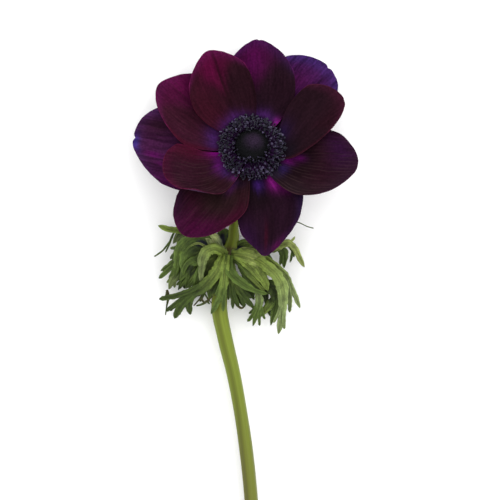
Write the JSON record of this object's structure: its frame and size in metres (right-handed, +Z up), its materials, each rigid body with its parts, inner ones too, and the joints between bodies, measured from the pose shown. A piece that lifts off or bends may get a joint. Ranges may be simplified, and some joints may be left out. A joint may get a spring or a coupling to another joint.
{
  "type": "anemone flower",
  "caption": "Cut anemone lying on its back: overlapping velvety dark petals round a dark centre of stamens, a ruff of divided green bracts and a gently curved stem.",
  "frame": {"origin": "middle of the underside of the lying flower's bounding box, on the surface it lies on", "axes": "+Y along the flower from the cut end to the bloom, +Z up and out of the bloom's face, +X to the bloom's right"},
  "size_m": [0.0854, 0.2512, 0.035],
  "materials": {
    "stem": "fresh green stem, smooth with a soft sheen",
    "bracts": "fresh green leaf, matte with fine ribs",
    "petals_inner": "velvety, very dark wine red",
    "petals_middle": "velvety, dark magenta",
    "petals_outer": "velvety, dark violet",
    "stamens": "blue-black, matte",
    "pistil": "nearly black, felted"
  },
  "bodies": {
    "root": {"stem": "stem", "pistil": "pistil", "stamens_outer": "stamens", "stamens_middle": "stamens", "stamens_inner": "stamens", "petal_inner_1": "petals_inner", "petal_inner_2": "petals_inner", "petal_inner_3": "petals_inner", "petal_middle_1": "petals_middle", "petal_middle_2": "petals_middle", "petal_middle_3": "petals_middle", "petal_middle_4": "petals_middle", "petal_outer_1": "petals_outer", "petal_outer_2": "petals_outer", "petal_outer_3": "petals_outer", "bract_left": "bracts", "bract_right": "bracts", "bract_back": "bracts"}
  },
  "joints": []
}
